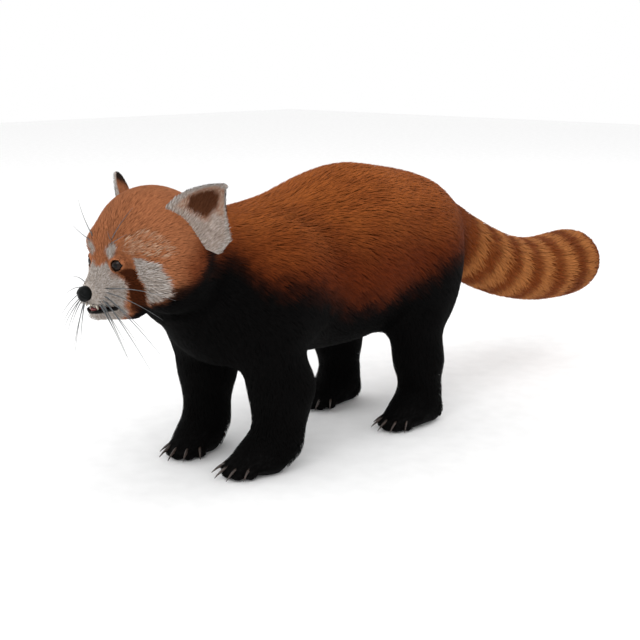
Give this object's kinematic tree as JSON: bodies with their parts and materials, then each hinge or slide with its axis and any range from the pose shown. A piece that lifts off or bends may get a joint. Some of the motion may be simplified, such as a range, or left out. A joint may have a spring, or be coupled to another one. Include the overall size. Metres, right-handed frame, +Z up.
{
  "type": "red panda model",
  "caption": "Life-size standing red panda with rust back, black belly and legs, white-marked face and a ringed tail held out behind.",
  "frame": {"origin": "on the floor, in the middle of the outline seen from above", "axes": "+Z up; the animal faces -Y; +X to the animal's left"},
  "size_m": [0.195, 0.9426, 0.3245],
  "materials": {
    "coat_rust": "soft rust-orange fur of the back and neck",
    "coat_dark": "soft brown-black fur of the legs, belly and throat",
    "coat_tail": "long fur ringed rust and buff",
    "coat_face": "short rust fur with white and cream markings",
    "coat_ear": "short white fur with a dark patch",
    "nose_skin": "moist black pebbled skin",
    "eye": "wet near-black brown eye",
    "tongue": "moist dark red tongue and lips",
    "claw": "smooth brown-mauve horn",
    "tooth": "smooth ivory",
    "whisker": "stiff dark grey hair"
  },
  "bodies": {
    "root": {"ear_left": "coat_ear", "ear_right": "coat_ear", "eye_left": "eye", "eye_right": "eye", "front_claw_1_left": "claw", "front_claw_1_right": "claw", "front_claw_2_left": "claw", "front_claw_2_right": "claw", "front_claw_3_left": "claw", "front_claw_3_right": "claw", "front_claw_4_left": "claw", "front_claw_4_right": "claw", "front_claw_5_left": "claw", "front_claw_5_right": "claw", "front_leg_left": "coat_dark", "front_leg_right": "coat_dark", "front_paw_left": "coat_dark", "front_paw_right": "coat_dark", "head": "coat_face", "hind_claw_1_left": "claw", "hind_claw_1_right": "claw", "hind_claw_2_left": "claw", "hind_claw_2_right": "claw", "hind_claw_3_left": "claw", "hind_claw_3_right": "claw", "hind_claw_4_left": "claw", "hind_claw_4_right": "claw", "hind_claw_5_left": "claw", "hind_claw_5_right": "claw", "hind_leg_left": "coat_dark", "hind_leg_right": "coat_dark", "hind_paw_left": "coat_dark", "hind_paw_right": "coat_dark", "lower_jaw": "coat_face", "neck": "coat_rust", "nose": "nose_skin", "tail_base": "coat_tail", "tail_middle": "coat_tail", "tail_tip": "coat_tail", "tongue": "tongue", "trunk": "coat_rust"}
  },
  "joints": []
}
